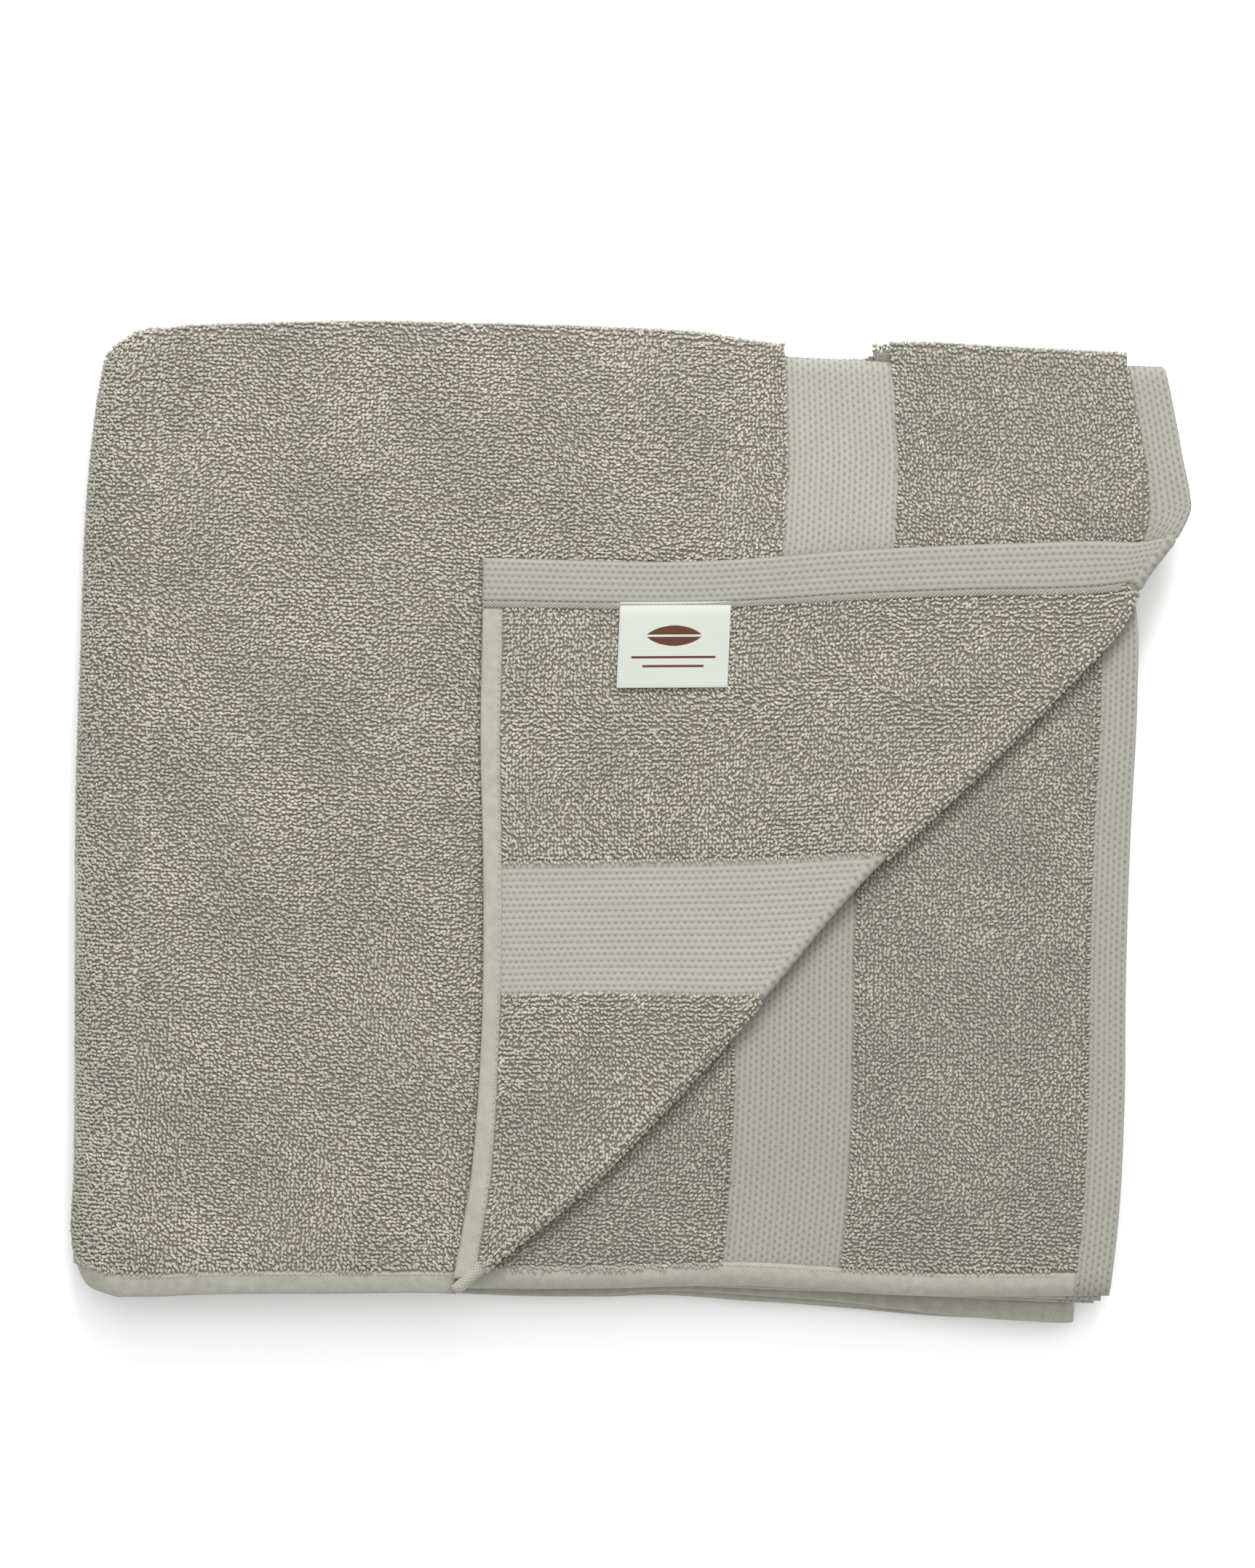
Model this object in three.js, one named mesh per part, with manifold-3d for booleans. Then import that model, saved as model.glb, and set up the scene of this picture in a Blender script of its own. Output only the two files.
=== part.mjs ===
// A plush bath towel of looped terry cloth, folded for a shelf: in half along its length, then in half
// crosswise twice, with one corner of the top ply turned back. Millimetres, +X towards the towel's ends,
// +Y towards the lengthwise fold at the back, +Z up. The origin is the middle of the underside.
//
// The pack is eight plies high. Ply 0 lies on the shelf and ply 7 is on top. Each ply is made of the zones
// that the loom and the sewing machine give the cloth: terry ground, flat border band, terry end strip,
// turned end hem and narrow side hem. Neighbouring zones and plies stay a small gap apart.

import * as THREE from 'three';
import { mergeVertices } from 'three/addons/utils/BufferGeometryUtils.js';
import Module from 'manifold-3d';

const wasm = await Module();
wasm.setup();

// Overall size of the folded pack, without the turned-back corner's height.
const packLength = 423; // X, from the outer left fold to the end of the top ply
const packWidth = 384; // Y, from the side hem of the top ply to the lengthwise fold

// Thickness of the cloth in each zone, and the clearance between plies and between zones.
const terryThickness = 4.3;
const bandThickness = 1.8;
const endHemThickness = 3.2;
const sideHemThickness = 2.6;
const gap = 0.4;

// Widths of the zones, measured in from the towel's end, and of the side hem, in from the towel's side.
const endHemWidth = 16;
const endStripWidth = 91.5;
const bandWidth = 47;
const sideHemWidth = 9.5;

// How far short of the top ply the other plies' ends and the right fold stop.
const secondEndInset = 14;
const thirdEndInset = 18;
const fourthEndInset = 20;
const rightFoldInset = 28;

// How far behind the top ply's side hem the other plies' side hems lie.
const secondFrontInset = 10;
const middleFrontInset = 4;
const lowerFrontInset = 3;

// The top ply is drawn out a little: its end strip is stretched, and its end leans in towards the back.
const topStripStretch = 6;
const topEndLean = 12;

// The turned-back corner: its two legs before folding, and how far the tip has crept along the fold.
const cornerAlongFront = 272;
const cornerAlongEnd = 309.5;
const cornerCreep = 36.5;
const rollEndTrim = 7; // the corner's roll stops this far short of the pack's edges

// The woven label, sewn in under the end hem of the turned-back corner.
const labelWidth = 44;
const labelLength = 31;
const labelThickness = 0.8;
const labelFromSide = 60.5; // along the hem, from the towel's side

// Sewing thread, shown where a seam can be seen.
const threadWidth = 0.7;
const threadHeight = 0.4;
const endSeamInset = 2; // from the end hem's inner edge
const sideSeamInset = 1.6; // from the side hem's inner edge
const seamEndInset = 3; // from the edge where a seam starts or stops
const seamFoldInset = 12; // from the turned-back corner's fold

// Facets of the rounded folds.
const curlSteps = 6; // a quarter turn at the back
const bendSteps = 14; // a half turn at the left, the right and the corner

// Places that follow from the sizes above.
const pitch = terryThickness + gap;
const plyCount = 8;
const frontY = -packWidth / 2;
const endX = packLength / 2;
const curlY = packWidth / 2 - (pitch - gap / 2); // axis of the back curls
const leftBend = { x: -packLength / 2 + 4 * pitch - gap / 2, z: 4 * pitch - gap / 2 };
const rightBend = { x: endX - rightFoldInset - (2 * pitch - gap / 2), z: 2 * pitch - gap / 2 };
const plyFront = [
  lowerFrontInset,
  lowerFrontInset,
  lowerFrontInset,
  lowerFrontInset,
  middleFrontInset,
  middleFrontInset,
  secondFrontInset,
  0,
].map((inset) => frontY + inset);
const plyEnd = { 4: endX - fourthEndInset, 5: endX - thirdEndInset, 6: endX - secondEndInset, 7: endX };
const plyNames = ['bottom', 'seventh', 'sixth', 'fifth', 'fourth', 'third', 'second', 'top'];
const middleOf = (ply) => ply * pitch + terryThickness / 2;

// The line of the corner's fold, which is also its hinge: it runs from the front edge to the towel's end.
const foldStart = new THREE.Vector2(endX - cornerAlongFront, frontY);
const foldEnd = new THREE.Vector2(endX, frontY + cornerAlongEnd);
const foldAlong = foldEnd.clone().sub(foldStart).normalize();
const foldOut = new THREE.Vector2(foldAlong.y, -foldAlong.x); // towards the corner before it is folded
const foldZ = plyCount * pitch - gap / 2;
const foldTakeUp = (Math.PI * pitch) / 2; // cloth used up by the half turn
const cornerDepth = foldOut.dot(new THREE.Vector2(endX, frontY).sub(foldStart));

const finishes = {
  terry: { color: 0xa09d8f, roughness: 1 },
  band: { color: 0xb4b4a8, roughness: 0.85 },
  hem: { color: 0xb3b3a7, roughness: 0.88 },
  thread: { color: 0xbab8aa, roughness: 0.6 },
  label: { color: 0xe1e8e0, roughness: 0.55 },
};

const towel = new THREE.Group();

// Adds one named piece, turning its faces outwards if its mapping mirrored them.
function addPiece(name, finish, geometry) {
  const material = new THREE.MeshStandardMaterial({ ...finishes[finish], metalness: 0 });
  const mesh = new THREE.Mesh(facingOut(geometry), material);
  mesh.name = name;
  towel.add(mesh);
}

// Six times the signed volume of a closed geometry of loose triangles.
function signedVolume(geometry) {
  const position = geometry.getAttribute('position');
  const corner = [new THREE.Vector3(), new THREE.Vector3(), new THREE.Vector3()];
  let volume = 0;
  for (let i = 0; i < position.count; i += 3) {
    corner.forEach((c, k) => c.fromBufferAttribute(position, i + k));
    volume += corner[0].dot(corner[1].clone().cross(corner[2]));
  }
  return volume;
}

function facingOut(geometry) {
  const loose = geometry.index ? geometry.toNonIndexed() : geometry;
  if (signedVolume(loose) > 0) return loose;
  const position = loose.getAttribute('position');
  for (let i = 0; i < position.count; i += 3) {
    for (const get of ['X', 'Y', 'Z']) {
      const second = position['get' + get](i + 1);
      position['set' + get](i + 1, position['get' + get](i + 2));
      position['set' + get](i + 2, second);
    }
  }
  return loose;
}

// Extrudes an outline of [a, b] points in `steps` slices and carries every vertex to its place:
// place(a, b, s) gives [x, y, z], with s from 0 to 1 along the extrusion.
function extruded(outline, place, steps = 1) {
  const shape = new THREE.Shape(outline.map(([a, b]) => new THREE.Vector2(a, b)));
  const geometry = new THREE.ExtrudeGeometry(shape, { depth: 1, steps, bevelEnabled: false });
  const position = geometry.getAttribute('position');
  for (let i = 0; i < position.count; i++) {
    position.setXYZ(i, ...place(position.getX(i), position.getY(i), position.getZ(i)));
  }
  geometry.deleteAttribute('normal');
  geometry.deleteAttribute('uv');
  return geometry;
}

// Section of a ply across the towel, as [y, z] points: flat from the front, then a quarter turn at the
// back towards the ply that it shares its lengthwise fold with. Odd plies curl down, even ones up.
function plySection(ply, thickness, front) {
  const side = ply % 2 ? 1 : -1;
  const curlZ = middleOf(ply) - (side * pitch) / 2;
  const arc = (radius) => {
    const last = Math.asin(Math.min(1, gap / 2 / radius));
    const steps = last > 1.5 ? 0 : curlSteps;
    return Array.from({ length: steps + 1 }, (_, i) => {
      const angle = Math.PI / 2 + ((last - Math.PI / 2) * i) / Math.max(steps, 1);
      return [curlY + radius * Math.cos(angle), curlZ + side * radius * Math.sin(angle)];
    });
  };
  const inner = (pitch - thickness) / 2;
  const outer = (pitch + thickness) / 2;
  return [
    [front, curlZ + side * inner],
    ...arc(inner),
    ...arc(outer).reverse(),
    [front, curlZ + side * outer],
  ];
}

// Section of a side hem, as [y, z] points.
function sideHemSection(ply, front) {
  const back = front + sideHemWidth - gap;
  const [low, high] = [-sideHemThickness / 2, sideHemThickness / 2].map((dz) => middleOf(ply) + dz);
  return [
    [front, low],
    [back, low],
    [back, high],
    [front, high],
  ];
}

// A straight zone of a ply between two places along X.
function straight(section, fromX, toX, place = (x, y, z) => [x, y, z]) {
  return extruded(section, (y, z, s) => place(fromX + (toX - fromX) * s, y, z));
}

// A half turn of a ply about an axis along Y. Its front edge moves from one ply's place to the other's.
function bent(section, axis, towards, front, frontShift) {
  const place = (y, z, s) => {
    const radius = z - axis.z;
    const nearFront = Math.max(0, (curlY - y) / (curlY - front));
    return [
      axis.x + towards * radius * Math.sin(Math.PI * s),
      y + frontShift * s * nearFront,
      axis.z + radius * Math.cos(Math.PI * s),
    ];
  };
  return extruded(section, place, bendSteps);
}

// The lean of the top ply's end: none at the border band's inner edge, nor level with the corner's fold.
const bandStart = (ply) =>
  plyEnd[ply] - endHemWidth - endStripWidth - (ply === 7 ? topStripStretch : 0) - bandWidth;
function leant(x, y, z) {
  const alongTowel = Math.max(0, (x - bandStart(7)) / (endX - bandStart(7)));
  const towardsBack = (y - foldEnd.y) / (curlY - foldEnd.y);
  return [x - topEndLean * alongTowel * towardsBack, y, z];
}

// manifold-3d solids from three.js geometry and back.
function solidOf(geometry) {
  const merged = mergeVertices(facingOut(geometry), 1e-4);
  return new wasm.Manifold(
    new wasm.Mesh({
      numProp: 3,
      vertProperties: merged.getAttribute('position').array,
      triVerts: new Uint32Array(merged.index.array),
    }),
  );
}

function geometryOf(solid) {
  const mesh = solid.getMesh();
  const geometry = new THREE.BufferGeometry();
  geometry.setAttribute('position', new THREE.BufferAttribute(mesh.vertProperties, 3));
  geometry.setIndex(new THREE.BufferAttribute(mesh.triVerts, 1));
  return geometry;
}

// Everything on the corner's side of the fold line, as a block that the top ply's pieces are cut with.
const farOff = packLength + packWidth;
const beyondFold = solidOf(
  extruded(
    [
      [-farOff, -gap],
      [farOff, -gap],
      [farOff, farOff],
      [-farOff, farOff],
    ],
    (along, out, s) => [
      foldStart.x + foldAlong.x * along + foldOut.x * out,
      foldStart.y + foldAlong.y * along + foldOut.y * out,
      foldZ + packWidth * (s - 0.5),
    ],
  ),
);
const cutAtFold = (geometry) => geometryOf(solidOf(geometry).subtract(beyondFold));

// The eight plies, zone by zone.
for (let ply = 0; ply < plyCount; ply++) {
  const name = plyNames[ply];
  const front = plyFront[ply];
  const terryFront = front + sideHemWidth;
  const hasEnd = ply in plyEnd;
  const isTop = ply === 7;
  const place = isTop ? leant : undefined;
  const finish = isTop ? cutAtFold : (geometry) => geometry;
  const startX = leftBend.x + gap;

  if (!hasEnd) {
    const stopX = rightBend.x - gap;
    addPiece(`${name}_ply_terry`, 'terry', straight(plySection(ply, terryThickness, terryFront), startX, stopX));
    addPiece(`${name}_ply_side_hem`, 'hem', straight(sideHemSection(ply, front), startX, stopX));
    continue;
  }

  const hemX = plyEnd[ply] - endHemWidth;
  const bandX = bandStart(ply);
  const stripX = bandX + bandWidth;
  const zones = [
    ['terry', 'terry', terryThickness, terryFront, startX, bandX - gap],
    ['band', 'band', bandThickness, terryFront, bandX, stripX - gap],
    ['end_strip', 'terry', terryThickness, terryFront, stripX, hemX - gap],
    ['end_hem', 'hem', endHemThickness, front, hemX, plyEnd[ply]],
  ];
  for (const [zone, colour, thickness, zoneFront, fromX, toX] of zones) {
    const section = plySection(ply, thickness, zoneFront);
    addPiece(`${name}_ply_${zone}`, colour, finish(straight(section, fromX, toX, place)));
  }
  const sideHem = straight(sideHemSection(ply, front), startX, hemX - gap);
  addPiece(`${name}_ply_side_hem`, 'hem', finish(sideHem));
}

// The left bends, from the outermost in: each joins a ply of the upper half to one of the lower half.
[
  ['outer', 7],
  ['second', 6],
  ['third', 5],
  ['inner', 4],
].forEach(([name, ply]) => {
  const front = plyFront[ply];
  const shift = plyFront[plyCount - 1 - ply] - front;
  const terry = plySection(ply, terryThickness, front + sideHemWidth);
  addPiece(`${name}_left_fold_terry`, 'terry', bent(terry, leftBend, -1, front, shift));
  addPiece(`${name}_left_fold_side_hem`, 'hem', bent(sideHemSection(ply, front), leftBend, -1, front, shift));
});

// The right bends join the lower four plies.
[
  ['outer', 3],
  ['inner', 2],
].forEach(([name, ply]) => {
  const front = plyFront[ply];
  const terry = plySection(ply, terryThickness, front + sideHemWidth);
  addPiece(`${name}_right_fold_terry`, 'terry', bent(terry, rightBend, 1, front, 0));
  addPiece(`${name}_right_fold_side_hem`, 'hem', bent(sideHemSection(ply, front), rightBend, 1, front, 0));
});

// The corner's roll: a half turn of cloth along the fold line.
const halfTurn = (radius, from, to) =>
  Array.from({ length: bendSteps + 1 }, (_, i) => {
    const angle = from + ((to - from) * i) / bendSteps;
    return [radius * Math.cos(angle), radius * Math.sin(angle)];
  });
const rollSection = [
  ...halfTurn(pitch - gap / 2, -Math.PI / 2, Math.PI / 2),
  ...halfTurn(gap / 2, Math.PI / 2, -Math.PI / 2),
];
const foldLength = foldEnd.distanceTo(foldStart);
addPiece(
  'corner_fold_roll',
  'terry',
  extruded(rollSection, (out, up, s) => {
    const along = rollEndTrim + (foldLength - 2 * rollEndTrim) * s;
    return [
      foldStart.x + foldAlong.x * along + foldOut.x * out,
      foldStart.y + foldAlong.y * along + foldOut.y * out,
      foldZ + up,
    ];
  }),
);

// The turned-back corner. Its zones are laid out on the cloth, as distances in from the towel's end and
// from its side, and carried to where the folded corner lies.
const tip = new THREE.Vector2(endX, frontY)
  .addScaledVector(foldOut, foldTakeUp - 2 * cornerDepth)
  .addScaledVector(foldAlong, cornerCreep);
const share = 1 - foldTakeUp / cornerDepth; // of each leg that lies flat beyond the roll
const flatFront = cornerAlongFront * share;
const flatEnd = cornerAlongEnd * share;
function onCorner(fromEnd, fromSide) {
  return tip
    .clone()
    .addScaledVector(foldStart.clone().sub(tip), fromEnd / flatFront)
    .addScaledVector(foldEnd.clone().sub(tip), fromSide / flatEnd);
}
const foldInset = gap / (cornerDepth * share);
const sideAtFold = (fromEnd) => flatEnd * (1 - foldInset - fromEnd / flatFront);
const endAtFold = (fromSide) => flatFront * (1 - foldInset - fromSide / flatEnd);

// A flat piece of the corner from its outline on the cloth.
function cornerPiece(outline, middleZ, thickness) {
  const points = outline.map(([fromEnd, fromSide]) => onCorner(fromEnd, fromSide).toArray());
  return extruded(points, (x, y, s) => [x, y, middleZ + thickness * (s - 0.5)]);
}

// The part of a zone between two distances from the end, from a distance from the side to the fold.
const toFold = (fromEnd, toEnd, fromSide) => [
  [fromEnd, fromSide],
  [toEnd, fromSide],
  [toEnd, sideAtFold(toEnd)],
  [fromEnd, sideAtFold(fromEnd)],
];
const cornerMiddle = middleOf(plyCount);
const stripInner = endHemWidth + endStripWidth;
const bandInner = stripInner + bandWidth;
addPiece('corner_end_hem', 'hem', cornerPiece(toFold(0, endHemWidth - gap, 0), cornerMiddle, endHemThickness));
addPiece(
  'corner_end_strip',
  'terry',
  cornerPiece(toFold(endHemWidth, stripInner - gap, sideHemWidth), cornerMiddle, terryThickness),
);
addPiece(
  'corner_band',
  'band',
  cornerPiece(toFold(stripInner, bandInner - gap, sideHemWidth), cornerMiddle, bandThickness),
);
addPiece(
  'corner_terry',
  'terry',
  cornerPiece(
    [
      [bandInner, sideHemWidth],
      [endAtFold(sideHemWidth), sideHemWidth],
      [bandInner, sideAtFold(bandInner)],
    ],
    cornerMiddle,
    terryThickness,
  ),
);
const hemInner = sideHemWidth - gap;
addPiece(
  'corner_side_hem',
  'hem',
  cornerPiece(
    [
      [endHemWidth, 0],
      [endAtFold(0), 0],
      [endAtFold(hemInner), hemInner],
      [endHemWidth, hemInner],
    ],
    cornerMiddle,
    sideHemThickness,
  ),
);

// The label lies on the end strip, square to the hem that holds its upper edge.
const labelEdge = onCorner(endHemWidth, labelFromSide);
const hemDirection = onCorner(0, flatEnd).sub(tip).normalize();
const labelGeometry = new THREE.BoxGeometry(labelWidth, labelLength, labelThickness);
labelGeometry.translate(labelWidth / 2, -labelLength / 2 - gap, 0);
labelGeometry.rotateZ(Math.atan2(hemDirection.y, hemDirection.x));
labelGeometry.translate(labelEdge.x, labelEdge.y, cornerMiddle + terryThickness / 2 + gap + labelThickness / 2);
addPiece('label', 'label', labelGeometry);

// Seams. Each is one run of thread that lies along its hem.
const threadAbove = (hemThickness) => hemThickness / 2 + gap / 2 + threadHeight / 2;
function threadSection(y, z) {
  const [w, h] = [threadWidth / 2, threadHeight / 2];
  return [
    [y - w, z - h],
    [y + w, z - h],
    [y + w, z + h],
    [y - w, z + h],
  ];
}
for (const ply of [6, 7]) {
  const isTop = ply === 7;
  const place = isTop ? leant : (x, y, z) => [x, y, z];
  const hemX = plyEnd[ply] - endHemWidth;
  const seamX = hemX + endSeamInset;
  const endZ = middleOf(ply) + threadAbove(endHemThickness);
  const startY = isTop ? foldEnd.y + seamFoldInset : plyFront[ply] + seamEndInset;
  const endSeam = extruded(threadSection(seamX, endZ), (x, z, s) => {
    const y = startY + (curlY - seamEndInset - startY) * s;
    return place(x, y, z);
  });
  addPiece(`${plyNames[ply]}_ply_end_seam`, 'thread', endSeam);

  const seamY = plyFront[ply] + sideHemWidth - sideSeamInset;
  const sideZ = middleOf(ply) + threadAbove(sideHemThickness);
  const stopX = isTop ? foldStart.x - seamFoldInset : hemX - seamEndInset;
  const sideSeam = straight(threadSection(seamY, sideZ), leftBend.x + seamEndInset, stopX);
  addPiece(`${plyNames[ply]}_ply_side_seam`, 'thread', sideSeam);
}
const seamU = endHemWidth - endSeamInset;
const seamV = sideHemWidth - sideSeamInset;
addPiece(
  'corner_end_seam',
  'thread',
  cornerPiece(
    [
      [seamU - threadWidth / 2, seamEndInset],
      [seamU + threadWidth / 2, seamEndInset],
      [seamU + threadWidth / 2, sideAtFold(seamU) - seamFoldInset],
      [seamU - threadWidth / 2, sideAtFold(seamU) - seamFoldInset],
    ],
    cornerMiddle + threadAbove(endHemThickness),
    threadHeight,
  ),
);
addPiece(
  'corner_side_seam',
  'thread',
  cornerPiece(
    [
      [endHemWidth + seamEndInset, seamV - threadWidth / 2],
      [endAtFold(seamV) - seamFoldInset, seamV - threadWidth / 2],
      [endAtFold(seamV) - seamFoldInset, seamV + threadWidth / 2],
      [endHemWidth + seamEndInset, seamV + threadWidth / 2],
    ],
    cornerMiddle + threadAbove(sideHemThickness),
    threadHeight,
  ),
);

export default towel;
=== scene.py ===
import math

import bmesh
import bpy
import numpy as np
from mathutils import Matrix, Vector


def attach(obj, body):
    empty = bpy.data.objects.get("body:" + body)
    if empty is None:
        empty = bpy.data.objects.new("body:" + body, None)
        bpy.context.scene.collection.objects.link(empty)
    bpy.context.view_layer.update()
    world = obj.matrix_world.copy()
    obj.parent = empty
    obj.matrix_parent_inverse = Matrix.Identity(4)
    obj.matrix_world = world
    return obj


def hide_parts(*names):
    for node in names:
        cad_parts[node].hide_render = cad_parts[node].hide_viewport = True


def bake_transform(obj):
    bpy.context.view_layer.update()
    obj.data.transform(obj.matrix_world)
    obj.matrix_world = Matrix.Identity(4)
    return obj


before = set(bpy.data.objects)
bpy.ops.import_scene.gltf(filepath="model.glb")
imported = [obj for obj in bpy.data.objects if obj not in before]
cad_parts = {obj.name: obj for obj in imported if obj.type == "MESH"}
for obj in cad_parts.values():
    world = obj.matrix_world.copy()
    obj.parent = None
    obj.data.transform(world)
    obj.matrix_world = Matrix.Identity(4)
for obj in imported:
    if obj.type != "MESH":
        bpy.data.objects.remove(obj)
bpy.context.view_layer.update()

# ---- Floor, light and camera ----
# The folded towel lies on a plain pale table top, lit by one broad soft lamp beyond its back edge
# and a pale room all round. The camera hangs straight above it, turned a little.
MM = 0.001
picture_height = 616 * MM
camera_height = 3.0
camera_turn = math.radians(2.8)
picture_middle = (-2.2 * MM, 13.7 * MM)
sensor = 36.0


def link(name, data):
    made = bpy.data.objects.new(name, data)
    bpy.context.scene.collection.objects.link(made)
    return made


table_mesh = bpy.data.meshes.new("table_top")
reach = 6.0
table_mesh.from_pydata(
    [(-reach, -reach, 0), (reach, -reach, 0), (reach, reach, 0), (-reach, reach, 0)], [], [(0, 1, 2, 3)]
)
table_top = link("table_top", table_mesh)
table_paint = bpy.data.materials.new("table paint")
table_paint.use_nodes = True
paint_inputs = table_paint.node_tree.nodes["Principled BSDF"].inputs
paint_inputs["Base Color"].default_value = (0.9, 0.9, 0.9, 1)
paint_inputs["Roughness"].default_value = 0.9
table_mesh.materials.append(table_paint)


def hang_lamp(name, place, width, depth, power):
    lamp = bpy.data.lights.new(name, "AREA")
    lamp.shape = "RECTANGLE"
    lamp.size = width
    lamp.size_y = depth
    lamp.energy = power
    lamp_object = link(name, lamp)
    lamp_object.location = place
    lamp_object.rotation_mode = "QUATERNION"
    lamp_object.rotation_quaternion = (-Vector(place)).to_track_quat("-Z", "Y")


hang_lamp("back_lamp", (0.1, 1.5, 1.5), 0.9, 0.6, 42)
hang_lamp("top_lamp", (0.1, 0.5, 2.6), 2.0, 2.0, 34)

room = bpy.data.worlds.new("pale room")
room.use_nodes = True
room_inputs = room.node_tree.nodes["Background"].inputs
room_inputs["Color"].default_value = (1, 1, 1, 1)
room_inputs["Strength"].default_value = 0.8
bpy.context.scene.world = room
bpy.context.scene.view_settings.view_transform = "Standard"

lens_data = bpy.data.cameras.new("camera")
lens_data.sensor_width = sensor
top_face = 37 * MM
lens_data.lens = sensor * (camera_height - top_face) / picture_height
camera = link("camera", lens_data)
camera.location = (picture_middle[0], picture_middle[1], camera_height)
camera.rotation_euler = (0, 0, camera_turn)
lens_data.clip_end = 20
bpy.context.scene.camera = camera

# ---- Lower half: terry of the bottom four plies ----
# One long cloth of plush cotton terry, folded lengthwise along the back edge and then twice crosswise.
# These four plies are its middle part. Each is a ground cloth with loops of pile standing on both faces.
PLIES = ("bottom", "seventh", "sixth", "fifth", "fourth", "third", "second", "top")
pitch = 4.7
half_ply = 2.15
curl = pitch / 2
turnover = math.pi * curl
left_axis = (-192.9, 18.6)
right_axis = (174.3, 9.2)
straight_back = 188.8
left_back, left_dip = 180, 9
terry_core = 0.9
hidden_core = 1.6


def middle(ply):
    return pitch * ply + half_ply


def through(stops, at):
    """A smooth line through the stops, each a place and a value."""
    places = np.array([s[0] for s in stops], float)
    values = np.array([s[1] for s in stops], float)
    slopes = np.gradient(values, places)
    at = np.clip(at, places[0], places[-1])
    k = np.clip(np.searchsorted(places, at, side="right") - 1, 0, len(places) - 2)
    span = places[k + 1] - places[k]
    s = (at - places[k]) / span
    return (
        (2 * s**3 - 3 * s**2 + 1) * values[k]
        + (s**3 - 2 * s**2 + s) * span * slopes[k]
        + (3 * s**2 - 2 * s**3) * values[k + 1]
        + (s**3 - s**2) * span * slopes[k + 1]
    )


def ripple(x, y, size, seed):
    """A soft random unevenness between about -1 and 1."""
    dice = np.random.default_rng(seed)
    total = 0.0
    for _ in range(7):
        way = dice.uniform(0, 2 * math.pi)
        length = size * dice.uniform(0.7, 1.6)
        start = dice.uniform(0, 2 * math.pi)
        total = total + np.sin(2 * math.pi * (x * math.cos(way) + y * math.sin(way)) / length + start)
    return total / 3.5


def lie_of_cloth(x, y):
    return 0.55 * ripple(x, y, 120, 5) + 0.25 * ripple(x, y, 45, 6)


def back_edge(x):
    stops = (
        (-193, 180), (-185, 181.2), (-155, 183.8), (-115, 186.5), (-75, 187.8), (0, 188.9), (20, 188.6),
        (40, 186.4), (56, 185.6), (90, 187.6), (102, 188.6), (150, 188.8), (200, 188.8),
    )
    return through(stops, x)


def front_edge(ply, x):
    """Where each ply ends at the front. The lower plies are uneven, the bottom one reaches out furthest."""
    if ply == 7:
        top = ((-193, -197.6), (-178, -196.8), (-161, -195.2), (-127, -193.2), (-90, -192), (-60, -191.6))
        return through(top, x)
    if ply == 6:
        second = (
            (-193, -187), (-52, -187.6), (0, -185), (48, -181.6), (124, -182), (170, -179.8), (198, -178.2),
        )
        return through(second, x)
    if ply in (4, 5):
        return -181.8 + 0.9 * np.sin(x / 47 + 2 * ply)
    lower = (
        (-193, -190), (-40, -190.8), (-5, -190.2), (20, -188),
        (60, -189), (95, -189.8), (125, -191.2), (184, -191),
    )
    lowest = through(lower, x)
    return lowest + 0.5 * ply * (1 + np.sin(x / 38 + 2 * ply)) * (ply > 0)


def lower_back(x):
    """The lower plies lie a little further in where the thin bands come above them."""
    return back_edge(x) - 5 * np.exp(-(((x - 72) / 32) ** 4))


def over_back(t, back, folds):
    """How far back and how far inwards the cloth goes where it turns over at the lengthwise fold."""
    turn = np.clip((t - back) / curl, 0, math.pi) if folds else np.zeros_like(t)
    return np.minimum(t, back) + curl * np.sin(turn), curl * (1 - np.cos(turn))


def droop(ply, x, t):
    """How far the front edge sinks, because nothing props it there."""
    drop, width = {7: (3.2, 11), 6: (3.8, 6.5)}.get(ply, (0.7, 8))
    return drop * np.clip((front_edge(ply, x) + width - t) / width, 0, 1) ** 2


def on_ply(ply):
    def place(x, t):
        y, inwards = over_back(t, lower_back(x), ply % 2 == 1)
        z = middle(ply) - inwards + lie_of_cloth(x, y) * ply / 7 - droop(ply, x, t)
        return np.stack([x + 0 * t, y, z], -1)
    return place


def left_reach(t):
    stops = (
        (-197, 9.5), (-190, 14.4), (-180, 17.4), (-150, 18.5), (-120, 19.6), (-60, 22.4), (0, 25),
        (60, 25.9), (120, 26.3), (150, 24.6), (165, 23), (180, 20.6),
    )
    return through(stops, t) / 16.45


def bend(axis, ply, partner, on, t, back):
    """Cloth on its way round a crosswise fold. on is how far round it is, back(turn) where it turns over."""
    radius = middle(ply) - axis[1]
    turn = np.clip(on / radius, 0, math.pi)
    share = (1 + np.cos(turn)) / 2
    y, inwards = over_back(t, back(turn), ply % 2 == 1)
    r = radius - inwards
    lift = lie_of_cloth(axis[0] + 0 * t, y) * (share * ply + (1 - share) * partner) / 7
    past = np.clip(-on, 0, None) + np.clip(on - math.pi * radius, 0, None)
    return r * np.sin(turn), past, y, axis[1] + r * np.cos(turn) + lift, share


def on_left_fold(ply):
    """Cloth from the ply down round the outer crosswise fold. The first measure is 0 at the top."""
    def place(a, t):
        out, past, y, z, share = bend(
            left_axis, ply, 7 - ply, -a, t, lambda turn: left_back - left_dip * np.sin(turn) ** 3
        )
        x = left_axis[0] - out * left_reach(y) + past
        return np.stack([x, y, z - droop(ply, left_axis[0] + 0 * t, t) * share], -1)
    return place


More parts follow.
